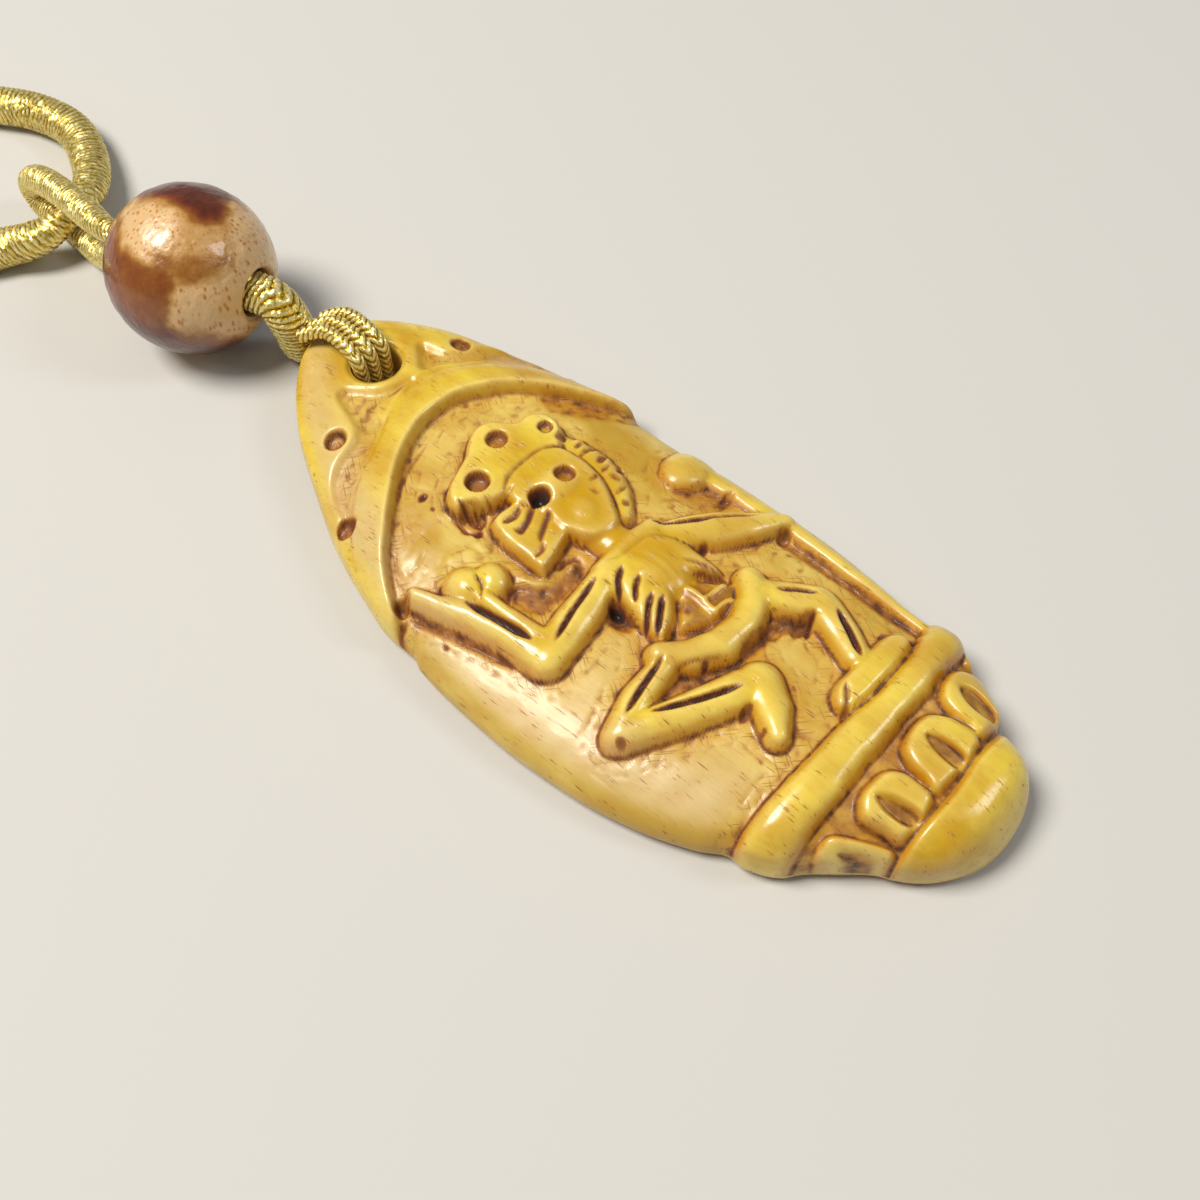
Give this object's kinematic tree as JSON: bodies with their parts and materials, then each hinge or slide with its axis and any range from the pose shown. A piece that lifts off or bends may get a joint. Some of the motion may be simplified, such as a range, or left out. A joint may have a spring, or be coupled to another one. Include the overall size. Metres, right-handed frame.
{
  "type": "carved bone pendant necklace",
  "caption": "Arched amulet pendant of polished bone, carved with a dancing skeleton figure under an arch on a lotus foot, hung from a round bead on a wrapped gold-thread neck cord.",
  "frame": {"origin": "centre of the carved pendant's flat back, on the line from its foot to its drilled hole", "axes": "+Z out of the carved face, +Y from the pendant's foot to its drilled tip, +X to the right of someone who faces the carving"},
  "size_m": [0.195, 0.3024, 0.0138],
  "materials": {
    "bone": "polished amber bone with brown stain in the cuts",
    "mottled_bead": "polished, dark brown mottled with cream",
    "gold_thread": "metallic gold thread"
  },
  "bodies": {
    "root": {"carved_pendant": "bone", "hanger_strand_1": "gold_thread", "hanger_strand_2": "gold_thread", "hanger_strand_3": "gold_thread", "knotted_cord": "gold_thread", "bead": "mottled_bead", "bail_loop": "gold_thread", "neck_cord": "gold_thread", "closure_sleeve": "gold_thread"}
  },
  "joints": []
}
